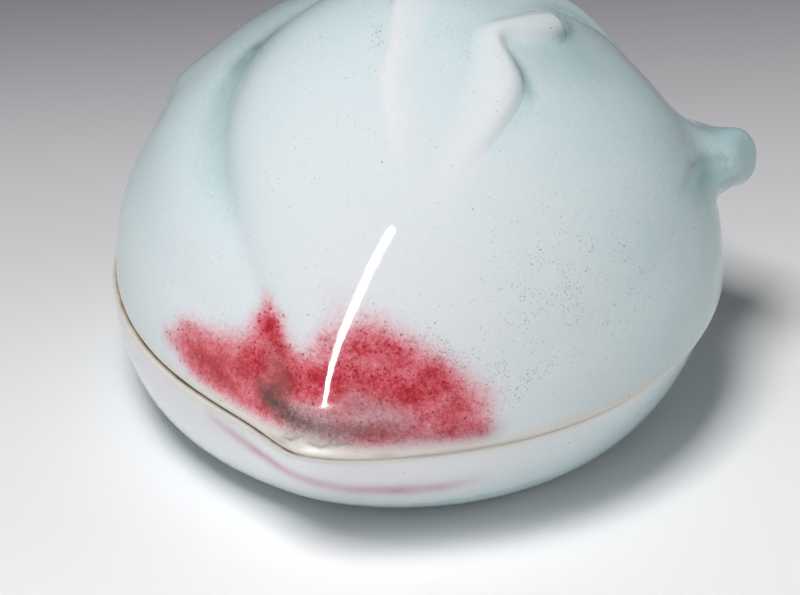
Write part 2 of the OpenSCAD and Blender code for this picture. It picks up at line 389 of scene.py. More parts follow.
# The wash of copper: share of its grain, where it begins and is full, and its strength
UNEVEN_GRAIN = 0.8
WASH_UNEVEN = 0.25
WASH_EDGE = (0, 0.15)
WASH_SPAN = (0.05, 0.75)
WASH_STRENGTH = 0.9

# Coats of copper over the wash: how even, patchy and grainy, where they begin and are full, strength and tone
COPPER_COATS = [
    ((0.4, 1.2, 0.5), (0.3, 0.95), 0.85, COPPER_RED),
    ((0.1, 1.6, 0.7), (0.65, 1.15), 0.75, COPPER_DEEP),
]

# Specks: where they lie, then the size of their cells, share of the cells with one, radius in cells, strength
COPPER_SPECKED = (0.1, 0.8)
IRON_PATCHES = (0.4, 0.62)
COPPER_SPECKS = [(0.6, 0.42, 0.36, 0.65), (0.3, 0.4, 0.42, 0.4)]
IRON_SPECKS = [(0.27, 1.4, 0.45, 0.35), (0.45, 0.35, 0.32, 0.6)]


def glaze_looks(wire):
    """Celadon glaze: pale where thin, blue-green where it pools, with copper red and iron under it."""
    fine = wire.noise(FINE_MARKS)
    grain = wire.noise(GRAIN_MARKS, detail=3)
    patch = wire.noise(PATCH_MARKS, detail=3)
    thick = wire.layer("thick") * wire.noise(CLOUD_MARKS).swing(CLOUD_SWING)
    thick = thick + FINE_SWING * (fine - 0.5) + GRAIN_SWING * (grain - 0.5)
    colour = (thick / BODY_THICK).blend(THIN_GLAZE, BODY_GLAZE)
    colour = ((thick - BODY_THICK) / (1 - BODY_THICK)).blend(colour, POOLED_GLAZE)
    lip = wire.layer("lip")
    colour = lip.blend(colour, CREAM_LIP)
    mauve = wire.layer("mauve") * patch.swing(MAUVE_SWING)
    colour = mauve.blend(colour, COPPER_MAUVE)
    copper = wire.layer("copper")
    uneven = (fine - 0.5) + UNEVEN_GRAIN * (grain - 0.5)
    wash = copper + WASH_UNEVEN * uneven * copper.step(*WASH_EDGE)
    colour = (WASH_STRENGTH * wash.step(*WASH_SPAN)).blend(colour, COPPER_WASH)
    for (even, patchy, grainy), (begin, full), strength, coat_tone in COPPER_COATS:
        coat = copper * (even + patchy * patch) + grainy * uneven
        colour = (strength * coat.step(begin, full)).blend(colour, coat_tone)
    specked = copper.step(*COPPER_SPECKED)
    for size, share, radius, strength in COPPER_SPECKS:
        colour = (strength * wire.specks(size, share * specked, radius)).blend(colour, COPPER_DARK)
    rusty = wire.layer("iron") * patch.step(*IRON_PATCHES)
    for size, share, radius, strength in IRON_SPECKS:
        colour = (strength * wire.specks(size, share * rusty, radius)).blend(colour, IRON_TONE)
    # A grey-brown layer: smudges near the tip, and painted shade in the creases and beside the cleft
    smoke = wire.layer("smoke") * (grain.swing(SMUDGE_AND_SHADE_SWING) + SMUDGE_AND_SHADE_SWING * (fine - 0.5))
    colour = smoke.blend(colour, SMUDGE_AND_SHADE_TONE)
    stain = wire.layer("stain") * patch.swing(STAIN_SWING)
    colour = stain.blend(colour, STAIN_TONE)
    peel = {"Strength": PEEL_STRENGTH, "Distance": PEEL_DEPTH * MM, "Height": grain + PEEL_FINE * fine}
    matt = GRAIN_MATT * grain + LIP_MATT * lip + STAIN_MATT * stain + SMUDGE_AND_SHADE_MATT * smoke.step(*SMUDGE_AND_SHADE_SEEN)
    return {
        "Base Color": colour,
        "Roughness": GLOSS + matt,
        "IOR": GLAZE_IOR,
        "Normal": wire.node("ShaderNodeBump", {}, peel),
    }


celadon = finish("celadon_glaze", glaze_looks)

LIP_FADE = 2
LIP_CREAM = 0.9
LIP_STAIN = 0.8
DISH_STAIN_FALL = 0.22
DISH_IRON = 0.02
INSIDE_GLAZE = 0.3
INSIDE_RUN = 0.02
INSIDE_MARGIN = 0.5
# Glaze outside: thickness in the seam's middle, and its growth per half width to the right, back and up
DISH_GLAZE = (0.38, (0.07, 0.52, -0.83))

# The brush line: angle from the tip, share of the way down the outside, half width and load of each place
DISH_MAUVE = [
    (-20, 0.16, 1, 0.3),
    (-9, 0.27, 1.2, 0.85),
    (-1, 0.36, 1.3, 0.7),
    (7, 0.41, 1.3, 0.65),
    (17, 0.41, 1.3, 0.75),
    (25, 0.4, 1.2, 0.6),
    (32, 0.36, 1, 0.2),
]

around = headings(SIDES)
lip_share = LIP_ROUND / (SEAM - UNDERSIDE)
lip_turns = np.linspace(90, 0, LIP_RINGS)
dish_underside = dish_outside(around, 1)
dish_foot = np.array([*DISH_LEAN, UNDERSIDE])
dish_floor = np.array([*DISH_LEAN, UNDERSIDE + FLOOR_THICK])
dish_floor_edge = dish_inside(around, 1)
dish_rings = [
    *reversed(towards(dish_underside, dish_foot, FLOOR_RINGS)),
    *(dish_outside(around, k) for k in np.linspace(1, dish_turn(lip_share), DISH_RINGS)[:-1]),
    *(
        dish_outside(around, dish_turn(lip_share * (1 - cosd(t))), LIP_ROUND * (1 - sind(t)))
        for t in lip_turns
    ),
    round_axis(around, mouth(around), SEAM),
    *(dish_inside(around, k) for k in np.linspace(0, 1, DISH_RINGS)),
    *towards(dish_floor_edge, dish_floor, FLOOR_RINGS),
]
dish = add_mesh("glazed_dish", dish_rings, (dish_foot, dish_floor))
spots = points_of(dish)
below_rim = SEAM - spots[:, 2]
outside = off_axis(spots) > mouth(heading_of(spots)) + INSIDE_MARGIN
mauve_line = [
    (dish_outside(np.array([TIP_HEADING + turn]), k)[0], wide, load) for turn, k, wide, load in DISH_MAUVE
]
rim_stain = LIP_STAIN * np.exp(-((below_rim / DISH_STAIN_FALL) ** 2))
paint(
    dish,
    thick=np.where(outside, glaze_slope(spots, *DISH_GLAZE), INSIDE_GLAZE + INSIDE_RUN * below_rim),
    lip=LIP_CREAM * (1 - smooth(below_rim / LIP_FADE)),
    copper=0,
    mauve=brushed(spots, [mauve_line]),
    iron=DISH_IRON,
    smoke=0,
    stain=rim_stain * on_lip(spots - [*RIM_LEAN * DISH_LEAN, 0]),
)
dish.data.materials.append(celadon)
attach(dish, "dish")
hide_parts("base_dish")

# Foot ring
# The low ring under the dish, cut from the clay before firing and wiped clean of glaze so it doesn't stick.
# It is bare porcelain, fine-grained and matt, and toasted in patches.

FOOT_WIDTH = 3
FOOT_SETBACK = 1
FOOT_ROUND = 0.35
SQUARE_ROUND = 0.05
CORNER_STEPS = 6
BISCUIT = tone(222, 212, 194)
TOASTED = tone(176, 146, 112)
BISCUIT_MARKS = 0.25
TOAST_MARKS = 5
BISCUIT_STRENGTH = 0.5
BISCUIT_DEPTH = 0.08
BISCUIT_ROUGH = 0.7
BISCUIT_SWING = 0.2
TOAST_SPAN = (0.5, 0.8)
TOAST_STRENGTH = 0.8
TOAST_GRAIN = (0.55, 0.8)
TOAST_GRAIN_STRENGTH = 0.3


def biscuit_looks(wire):
    """Bare fired porcelain, fine-grained and matt, toasted in patches."""
    grain = wire.noise(BISCUIT_MARKS)
    patch = wire.noise(TOAST_MARKS)
    colour = (TOAST_STRENGTH * patch.step(*TOAST_SPAN)).blend(BISCUIT, TOASTED)
    colour = (TOAST_GRAIN_STRENGTH * grain.step(*TOAST_GRAIN)).blend(colour, TOASTED)
    relief = {"Strength": BISCUIT_STRENGTH, "Distance": BISCUIT_DEPTH * MM, "Height": grain}
    normal = wire.node("ShaderNodeBump", {}, relief)
    return {"Base Color": colour, "Roughness": BISCUIT_ROUGH + BISCUIT_SWING * grain, "Normal": normal}


biscuit = finish("bare_biscuit", biscuit_looks)


def rounded_wall(thick, low, high, low_round, high_round):
    """Profile of a ring's wall: distances in from its outer face, and heights, round its four corners."""
    corners = [
        (low_round, low + low_round, low_round, 180),
        (high_round, high - high_round, high_round, 90),
        (thick - high_round, high - high_round, high_round, 0),
        (thick - low_round, low + low_round, low_round, -90),
    ]
    profile = []
    for x, z, radius, turn in corners:
        for t in np.linspace(turn + 90, turn, CORNER_STEPS):
            profile.append((x + radius * cosd(t), z + radius * sind(t)))
    return profile


foot_edge = oval(around) - DISH_INSET - FOOT_SETBACK
foot_profile = rounded_wall(FOOT_WIDTH, 0, UNDERSIDE, FOOT_ROUND, SQUARE_ROUND)
foot = add_mesh("bare_foot", [round_axis(around, foot_edge - x, z, DISH_LEAN) for x, z in foot_profile])
foot.data.materials.append(biscuit)
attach(foot, "dish")
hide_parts("foot_ring")

# Seat flange
# The upright flange inside the rim, which the lid drops over: a strip of clay, luted in and trimmed true.
# It is left bare, so that the lid doesn't fuse to it in the kiln.

FLANGE_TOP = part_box("seat_flange")[1].z / MM
FLANGE_THICK = 2
FLANGE_ROUND = 0.6

flange_profile = rounded_wall(FLANGE_THICK, FLANGE_FOOT, FLANGE_TOP, SQUARE_ROUND, FLANGE_ROUND)
flange = add_mesh("bare_flange", [round_axis(around, mouth(around) - x, z) for x, z in flange_profile])
flange.data.materials.append(biscuit)
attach(flange, "dish")
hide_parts("seat_flange")

# Lid
# The upper part of the peach: a hollow porcelain shell with a cleft, a pointed tip and a hollow at the stem.
# Its glaze runs thin over raised places and pools in low ones. Copper red was brushed on beside the tip.

CROWN_RISE = 36.2
PROFILE_POWER = 1.72
CHEEK_SWELL = 1.9
TIP_CLIMB = 36
CLEFT_DEPTH = 2.3
CLEFT_WIDTH = 4
CLEFT_SOFT = 1.4
CLEFT_START = 0.25
CLEFT_GROWTH = 1.1
HOLLOW_DEPTH = 2.2
HOLLOW_RADIUS = 9
PRESS_FADE = 12
FOLD_DENT = 0.85
FOLD_SWELL = 0.5
FOLD_RADIUS = 4
ECHO_SHARE = 0.6
DOME_RADIUS = (HALF_WIDTH + HALF_LENGTH + 2 * CROWN_RISE) / 4
MOUTH_ROUND = 0.5

# Places on the lid are angles from the crown: to the right, then to the back
STEM_PLACE = np.array([40.0, 45.0])
CLEFT_PATH = np.array([[0, -90], [-18.5, -56], [-92, 6], STEM_PLACE])
FOLD_DENT_PLACE = np.array([-65.5, -6.5])
FOLD_SWELL_PLACE = np.array([-58.0, 2.0])
CLEFT_STEPS = 60
LID_RINGS = 170
LID_INNER_RINGS = 50
INNER_LOWEST = 2
SEEK_ROUNDS = 12


def bezier(path, t):
    t = np.asarray(t, float)[..., None]
    k = 1 - t
    return k**3 * path[0] + 3 * k * k * t * path[1] + 3 * k * t * t * path[2] + t**3 * path[3]


def to_mm(angle):
    return np.radians(angle) * DOME_RADIUS


def groove(place):
    """Depth of the cleft at places on the lid."""
    line = bezier(CLEFT_PATH, np.linspace(0, 1, CLEFT_STEPS + 1))
    deep = np.zeros(place.shape[:-1])
    for i in range(CLEFT_STEPS):
        share, offset = nearest(place, line[i], line[i + 1])
        away = to_mm(np.linalg.norm(offset, axis=-1))
        strength = smooth(CLEFT_START + CLEFT_GROWTH * (i + share) / CLEFT_STEPS)
        deep = np.maximum(deep, strength * np.exp((CLEFT_SOFT - np.hypot(away, CLEFT_SOFT)) / CLEFT_WIDTH))
    return CLEFT_DEPTH * deep


def round_spot(place, middle, radius):
    """Share from 1 at a middle to 0 well outside a radius in millimetres."""
    return np.exp(-((to_mm(np.linalg.norm(place - middle, axis=-1)) / radius) ** 2))


def fold(place):
    """Depth of the small fold on the left shoulder: a dent under a swelling."""
    dent = FOLD_DENT * round_spot(place, FOLD_DENT_PLACE, FOLD_RADIUS)
    return dent - FOLD_SWELL * round_spot(place, FOLD_SWELL_PLACE, FOLD_RADIUS)


def place_of(a, e):
    return (90 - e)[..., None] * np.stack([cosd(a), sind(a)], -1)


def press(a, e):
    place = place_of(a, e)
    low = np.maximum(groove(place), HOLLOW_DEPTH * round_spot(place, STEM_PLACE, HOLLOW_RADIUS))
    return smooth(e / PRESS_FADE) * (low + fold(place))


def dome(side, top, e):
    inverse = (cosd(e) / side) ** PROFILE_POWER + (sind(e) / top) ** PROFILE_POWER
    return inverse ** (-1 / PROFILE_POWER)


def skin(a, e):
    """Distance of the lid's outside from the middle of the seam's plane."""
    a, e = np.broadcast_arrays(a, e)
    tip = tip_bump(a) * tip_share(HALF_LENGTH * sind(e), HALF_LENGTH * sind(TIP_CLIMB))
    return dome(oval(a) + CHEEK_SWELL * sind(2 * e) + tip, CROWN_RISE, e) - press(a, e)


def inner_skin(a, e):
    a, e = np.broadcast_arrays(a, e)
    side = oval(a) - LID_WALL + CHEEK_SWELL * sind(2 * e)
    return dome(side, CROWN_RISE - LID_WALL, e) - ECHO_SHARE * press(a, e)


def over_seam(a, e, reach, cut=0):
    return round_axis(a, reach * cosd(e) - cut, SEAM + reach * sind(e))


def on_lid(place, height):
    """Points at heights over the lid's skin."""
    a = heading_of(place)
    e = 90 - np.linalg.norm(place, axis=-1)
    return over_seam(a, e, skin(a, e) + height)


def by_tip(turn, height):
    """Point of the lid's skin at an angle from the tip and a height over the seam."""
    a = np.array([TIP_HEADING + turn], float)
    e = np.zeros(1)
    for _ in range(SEEK_ROUNDS):
        e = np.degrees(np.arcsin(np.clip(height / skin(a, e), 0, 1)))
    return over_seam(a, e, skin(a, e))[0]


# The leaf's midrib and edges, along which the lid's glaze pools
MIDRIB_PATH = np.array([[56.0, 48], [20, 46], [0, 0], [16, -43]])
STALK_END = 0.44
STALK_HALF = 1.7
RIGHT_HALF = 8.6
RIGHT_FULL = 0.58
RIGHT_WIDEST = 0.78
RIGHT_TAPER = 1.8
LEFT_HALF = 9.6
LEFT_FULL = 0.62
LEFT_WIDEST = 0.68
LEFT_TAPER = 1.5
NOTCH_PLACE = 0.693
NOTCH_DEPTH = 5
NOTCH_LEAD = 2.9
WAVE_PLACE = 0.755
WAVE_DEPTH = 1.4
DIP_SPAN = 0.035
OUTLINE_STEPS = 121
SLOPE_SPAN = 1e-4


def leaf_half(s, half, full, widest, taper):
    grown = STALK_HALF + (half - STALK_HALF) * smooth((s - STALK_END) / (full - STALK_END))
    return grown * (1 - np.clip((s - widest) / (1 - widest), 0, 1) ** taper)


def dip(s, middle, lead=1):
    return np.exp(-(((s - middle) / DIP_SPAN / np.where(s < middle, lead, 1)) ** 2))


def unit(v):
    return v / np.linalg.norm(v, axis=-1, keepdims=True)


def leaf_place(s, across):
    """Places along the midrib, at distances to its right."""
    s = np.asarray(s, float)
    slope = bezier(MIDRIB_PATH, s + SLOPE_SPAN) - bezier(MIDRIB_PATH, s - SLOPE_SPAN)
    right = unit(np.stack([-slope[..., 1], slope[..., 0]], -1))
    return bezier(MIDRIB_PATH, s) + right * np.degrees(across / DOME_RADIUS)[..., None]


along_edge = np.linspace(0, 1, OUTLINE_STEPS)
right_half = leaf_half(along_edge, RIGHT_HALF, RIGHT_FULL, RIGHT_WIDEST, RIGHT_TAPER)
right_half -= NOTCH_DEPTH * dip(along_edge, NOTCH_PLACE, NOTCH_LEAD)
left_half = leaf_half(along_edge, LEFT_HALF, LEFT_FULL, LEFT_WIDEST, LEFT_TAPER)
left_half -= WAVE_DEPTH * dip(along_edge, WAVE_PLACE)
RIGHT_EDGE = leaf_place(along_edge, right_half)
LEFT_EDGE = leaf_place(along_edge, -left_half)


def beside(place, line):
    """For places: distance from a line in millimetres, and 1 on its left or -1 on its right."""
    away = np.full(place.shape[:-1], np.inf)
    side = np.zeros(place.shape[:-1])
    for a, b in zip(line, line[1:]):
        gap = np.linalg.norm(nearest(place, a, b)[1], axis=-1)
        turn = (b - a)[0] * (place[..., 1] - a[1]) - (b - a)[1] * (place[..., 0] - a[0])
        side = np.where(gap < away, np.sign(turn), side)
        away = np.minimum(gap, away)
    return to_mm(away), side


# Rolled edges of the leaf: place, half widths on the left and the right, height, white and sharpness
RIGHT_ROLL = [
    (22.4, 8.7, 2.4, 2.2, 1, 1, 1.1),
    (20.8, 6, 3.8, 2.2, 0.95, 1, 1.4),
    (19.1, 3, 3.8, 2, 0.88, 1, 1.5),
    (17.3, 0, 2.6, 1.9, 0.8, 1, 1.5),
    (15.9, -2.6, 1.9, 2, 0.75, 1, 1.6),
    (15.7, -4.6, 1.6, 2.4, 0.72, 1, 1.6),
    (16.9, -7, 1.6, 3, 0.75, 1, 1.6),
    (18.9, -9.4, 1.9, 3.8, 0.8, 1, 1.6),
    (20.8, -12, 2.2, 4.6, 0.8, 1, 1.7),
    (21.7, -15, 2.4, 5, 0.65, 1, 2),
    (21.7, -18.8, 2.4, 5, 0.42, 1, 2),
    (21.2, -23.7, 2.3, 4.6, 0.26, 1, 2),
    (20.4, -28.9, 2.2, 4.2, 0.15, 0.9, 2),
    (19.1, -34.1, 2.1, 3.8, 0.07, 0.75, 2),
    (18.2, -38.4, 2, 3.4, 0.02, 0.5, 2),
    (17.5, -41.2, 2, 3, 0, 0.2, 2),
]
LEFT_ROLL = [
    (4, 13.6, 2, 1.6, 0.3, 0.5, 2),
    (0, 9, 2.6, 1.6, 0.4, 0.7, 2),
    (-2, 3.5, 3.4, 1.2, 0.4, 0.8, 2),
    (-2.6, -1, 4.4, 1.2, 0.4, 0.85, 2),
    (-2.4, -5.3, 4.4, 1.2, 0.35, 0.9, 2),
    (-1.2, -9.6, 3.6, 1.2, 0.3, 0.9, 2),
    (-0.2, -14.1, 3, 1.2, 0.28, 0.95, 2),
    (0, -17.8, 2.8, 1.2, 0.28, 1, 2),
    (1, -21.4, 2.8, 1.3, 0.26, 1, 2),
    (2.9, -25.1, 2.7, 1.3, 0.22, 1, 2),
    (5, -28.6, 2.5, 1.8, 0.15, 0.9, 2),
    (6.7, -32.1, 2.2, 1.7, 0.08, 0.6, 2),
    (8.2, -34.7, 2, 1.6, 0, 0.2, 2),
]
# The stalk, from the twig to the leaf: share of the midrib and height
STALK_STOPS = [(0, 0), (0.12, 0.2), (0.3, 0.9), (0.44, 1), (0.52, 0.6), (0.58, 0)]
STALK_WIDE = 2
STALK_ROLL = [
    (*bezier(MIDRIB_PATH, share), STALK_WIDE, STALK_WIDE, height, height / 2, 1)
    for share, height in STALK_STOPS
]
ROLL_STEPS = 5
BLADE_RISE = 0.2
BLADE_FALL = 1.6
TIP_FADE = 14


def through(points, steps):
    """Points along a curve through a list of points."""
    rows = np.array([points[0], *points, points[-1]], float)
    line = []
    for a, b, c, d in zip(rows, rows[1:], rows[2:], rows[3:]):
        for t in np.arange(steps) / steps:
            line.append(b + t / 2 * (c - a + t * (2 * a - 5 * b + 4 * c - d + t * (3 * (b - c) + d - a))))
    return np.array([*line, rows[-1]])


def raised(place, stops):
    """Height and white of a rolled edge at places."""
    high = np.zeros(place.shape[:-1])
    white = np.zeros(place.shape[:-1])
    for a, b in zip(stops, stops[1:]):
        run = b[:2] - a[:2]
        share, across = nearest(place, a[:2], b[:2])
        on_left = run[0] * across[..., 1] > run[1] * across[..., 0]
        stop = a[2:] + share[..., None] * (b - a)[2:]
        wide_left, wide_right, top, pale, sharp = np.moveaxis(stop, -1, 0)
        away = to_mm(np.linalg.norm(across, axis=-1)) / np.where(on_left, wide_left, wide_right)
        form = np.maximum(0, 1 - away**2)
        high = np.maximum(high, top * form**sharp)
        white = np.maximum(white, pale * form)
    return high, white


def leaf_form(place):
    """At places on the lid: the leaf's height, and how far its rolled edges show white."""
    right, right_side = beside(place, RIGHT_EDGE)
    left, left_side = beside(place, LEFT_EDGE)
    blade = smooth(0.5 - right_side * right / BLADE_FALL) * smooth(0.5 + left_side * left / BLADE_FALL)
    blade *= smooth(to_mm(np.linalg.norm(place - MIDRIB_PATH[3], axis=-1)) / TIP_FADE)
    rolls = [raised(place, through(roll, ROLL_STEPS)) for roll in (RIGHT_ROLL, LEFT_ROLL, STALK_ROLL)]
    high = np.max([roll[0] for roll in rolls], axis=0)
    white = np.max([roll[1] for roll in rolls], axis=0)
    return BLADE_RISE * blade + high, white


# Glaze pooled in the cleft, below the twig and beside the leaf's rolled edge: place, half width and load
LID_POOLS = [
    [(-24.5, 12.2, 1, 0.05), (-33.4, 0.5, 1, 0.06), (-36.3, -3, 1.2, 0.1), (-38.2, -8, 1.4, 0.14)],
    [
        (-38.2, -8, 1.4, 0.14),
        (-39.4, -16.5, 2, 0.17),
        (-38.6, -25, 2.4, 0.16),
        (-35, -36, 3, 0.15),
        (-29, -46, 3, 0.1),
    ],
    [(65, 18, 2, 0.25), (65.5, 12, 2.4, 0.3), (65, 6, 2, 0.2), (63, 0, 2, 0.05)],
    [(24.4, 16.5, 0.9, 0.15), (25.9, 13.5, 1, 0.25), (26.4, 9.5, 1, 0.25), (25.4, 5.5, 1, 0.15)],
    [
        (18.3, -5.2, 0.6, 0.1),
        (20.3, -7, 0.7, 0.25),
        (22.5, -8.6, 0.8, 0.35),
        (24.2, -10.4, 0.8, 0.35),
        (25.2, -12.4, 0.8, 0.25),
    ],
    [(25.5, -12.2, 0.9, 0.25), (25.6, -16, 1.1, 0.18), (24.6, -21.5, 1.1, 0.14), (23.4, -26.6, 1, 0.1)],
    [(26, 1, 3, 0.1), (30, 5, 4, 0.15)],
    [(29, -3.7, 5, 0.12), (33, -8, 5, 0.05)],
]

# Painted shade, in grey: in the bottom of the cleft, in the crease by the twig, along the leaf's roll and
# left of the cleft
CREASE_SHADE = [
    [(-24.5, 12.2, 0.8, 0.1), (-30.4, 5.1, 0.8, 0.25), (-33.4, 1, 0.8, 0.3), (-35.8, -2.4, 0.8, 0.3)],
    [(-35.8, -2.4, 0.8, 0.3), (-37.8, -6.7, 0.8, 0.25), (-39.6, -16.5, 1, 0.12), (-37.5, -29.2, 1.2, 0.04)],
    [
        (64, 26, 0.6, 0.15),
        (62.1, 21.5, 0.6, 0.25),
        (60.5, 11.4, 0.6, 0.25),
        (61.3, 5, 0.6, 0.15),
        (61.1, -1.6, 0.6, 0.05),
    ],
    [
        (24.4, 16, 0.4, 0.1),
        (25.7, 13.5, 0.45, 0.35),
        (26.1, 10, 0.45, 0.4),
        (25.2, 6.6, 0.45, 0.25),
        (23.8, 4.4, 0.5, 0.1),
    ],
    [
        (18.5, -5.4, 0.35, 0.05),
        (20.3, -7.1, 0.4, 0.25),
        (22.2, -8.8, 0.45, 0.4),
        (23.8, -10.5, 0.45, 0.35),
        (24.8, -12.4, 0.4, 0.1),
    ],
    [(-46, -12, 3, 0.06), (-42, -2, 3.4, 0.13), (-35, 9, 3.4, 0.16), (-27, 18, 3, 0.14)],
]

# Copper, grey smudges, iron and stains: angle from the tip, height over the seam, half width and load of each
# place
LID_COPPER = [
    [(-34, 4.6, 2, 0.4), (-28, 5.2, 2.9, 0.85), (-19, 5.1, 3.1, 0.95), (-12, 5.2, 3, 0.95)],
    [(-30, 7, 2.2, 0.2), (-17, 7.8, 2.6, 0.4)],
    [(-26, 3.2, 1.2, 0.4), (-14, 3, 1.4, 0.5), (-6, 2.8, 1.6, 0.5), (4, 3.2, 2, 0.5), (12, 3, 1.8, 0.5)],
    [(-13.5, 13.6, 1.5, 0.35), (-11.5, 11, 2.3, 0.9), (-9.5, 8.5, 2.8, 1), (-7, 6, 2.8, 0.95)],
    [(-5, 7, 2.4, 0.85), (0, 7.5, 3, 0.8), (4, 8, 3, 0.75)],
    [(2, 11.5, 2.4, 0.5), (9, 11.5, 3, 0.7), (16, 10, 2.8, 0.8), (22, 7.8, 2.8, 0.8), (28, 5.4, 2.6, 0.5)],
    [(5, 7, 2.6, 0.6), (13, 7.5, 3, 0.8), (20, 6.2, 3, 0.9), (25, 4.8, 2.6, 0.6), (30, 3.4, 2, 0.3)],
    [(9, 2.9, 1.4, 0.4), (18, 2.9, 1.5, 0.55), (29, 2.6, 1.4, 0.42)],
    [(3, 14.6, 2.4, 0.2), (12, 13.6, 2.6, 0.25), (22, 10.8, 2.6, 0.2), (32, 6.5, 2, 0.15)],
    [(-4, 16.5, 2, 0.1), (3, 17, 2, 0.1)],
]
LID_SMUDGE = [
    [
        (-10.5, 5.2, 1, 0.4),
        (-8.6, 4.3, 1.2, 0.85),
        (-5, 3.6, 1.3, 0.9),
        (-1.5, 3.2, 1.1, 0.85),
        (3.6, 3, 1, 0.75),
        (9.6, 3.3, 1, 0.55),
        (17, 3.9, 1, 0.2),
    ],
    [(-9.5, 9, 1.6, 0.15), (-6.5, 5.5, 1.8, 0.4)],
    [(-1, 4.3, 0.9, 0.3), (4, 4.3, 0.9, 0.3)],
    [(5, 5, 1.5, 0.2), (8, 5.6, 2, 0.36), (12, 5.4, 1.8, 0.28), (16, 4.8, 1.5, 0.1)],
    [(-3, 1.9, 1, 0.25), (4, 2, 1, 0.35), (12, 2.4, 1.2, 0.35), (31, 2.2, 1.1, 0.25)],
]
LID_MAUVE = [
    [(8, 2.7, 1.3, 0.35), (18, 2.9, 1.4, 0.6), (27, 2.7, 1.3, 0.6), (33, 2.4, 1, 0.2)],
    [(-1, 5, 1.6, 0.3), (3, 5.6, 2.2, 0.6), (8, 6, 2.2, 0.6), (13, 5.2, 1.8, 0.3)],
]
LID_IRON = [
    [(45, 15, 5, 0.35), (51, 16, 6, 0.5), (58, 15, 6, 0.35)],
    [(22, 11.5, 2.6, 0.6), (30, 8.6, 2.4, 0.7), (38, 7.4, 2.4, 0.9)],
]
LID_STAIN = [
    [(-4.5, 1.2, 0.18, 0.3), (-2.6, 1.35, 0.2, 0.5), (-1.2, 1.9, 0.15, 0.2)],
    [(0.5, 1.5, 0.18, 0.4), (2.6, 1.3, 0.2, 0.5), (4.2, 1.8, 0.15, 0.2)],
    [(4.5, 1.6, 0.15, 0.3), (6.8, 1.9, 0.2, 0.5), (8, 1.7, 0.15, 0.2)],
    [(-7, 0.8, 0.3, 0.2), (-4.8, 0.7, 0.4, 0.4), (-3.4, 0.7, 0.3, 0.2)],
    [(11, 0.6, 0.3, 0.15), (13, 0.7, 0.35, 0.3), (15, 0.6, 0.3, 0.1)],
]
# Iron on the leaf and beside it, and brown below the end of its rolled edge: place, half width and load
LEAF_IRON = [
    [(8.4, -9, 1.4, 0.7), (9.8, -10.8, 1.5, 0.7), (11.4, -12, 1.2, 0.4)],
    [(-4.6, -11.2, 1.2, 0.5), (-2.6, -15, 1.3, 0.6), (-2.2, -18.4, 1.2, 0.6), (-2, -23, 1, 0.3)],
    [(24.6, 6.3, 1, 0.5), (22.4, 2.6, 1, 0.3)],
]
BROWN_BELOW_ROLL = [[(24.4, 6, 0.9, 0.22), (22.4, 2.8, 0.9, 0.18), (20.3, 0.4, 0.7, 0.06)]]
# Glaze, given like the dish's
LID_GLAZE = (0.55, (-0.03, 0.44, -0.17))
# Pools by the twig and in low places, the leaf's white, the least iron, and the lip's cream and stain
TWIG_ROOT = np.array([66.0, 30.0])
ROOT_RADIUS = 5
ROOT_POOL = 0.12
LOW_POOL = 0.08
DEEP_POOL = 0.25
WHITE_THINS = 0.75
LID_IRON_LEAST = 0.015
LID_STAIN_RISE = 0.3
LIP_BEGIN = 0.2
FLARE_SPREAD = 16
FLARE_LIP = 1.8
LEAF_LOWEST = 25

RING_CROWDING = 1.35
inner_turns = np.linspace(90, INNER_LOWEST, LID_INNER_RINGS + 1)[1:]
outer_start = np.degrees(np.arcsin(LIP_ROUND / HALF_WIDTH))
outer_turns = outer_start + (90 - outer_start) * np.linspace(0, 1, LID_RINGS + 1) ** RING_CROWDING
lid_mouth = oval(around) - LID_WALL


def lip_rise(t):
    """Angle over the seam of the lip's outside at a turn of its rounding."""
    return np.degrees(np.arcsin(LIP_ROUND * (1 - cosd(t)) / HALF_WIDTH))


lid_rings = [
    *(over_seam(around, e, inner_skin(around, e)) for e in inner_turns),
    *(
        round_axis(around, lid_mouth + MOUTH_ROUND * (1 - cosd(t)), SEAM + MOUTH_ROUND * (1 - sind(t)))
        for t in reversed(lip_turns)
    ),
    *(
        over_seam(around, lip_rise(t), skin(around, lip_rise(t)), LIP_ROUND * (1 - sind(t)))
        for t in reversed(lip_turns)
    ),
    *(over_seam(around, e, skin(around, e)) for e in outer_turns[1:-1]),
]
crown = np.array([0.0])
lid_ends = [over_seam(crown, 90.0, reach(crown, 90.0))[0] for reach in (inner_skin, skin)]
lid = add_mesh("glazed_lid", lid_rings, lid_ends)


def by_crown(right, back):
    """Point of the lid's skin at a place."""
    return on_lid(np.array([right, back], float), 0)


def on_skin(strokes, find):
    """Strokes with the two numbers of each place turned to a point of the lid's skin."""
    return [[(find(x, y), wide, load) for x, y, wide, load in stroke] for stroke in strokes]


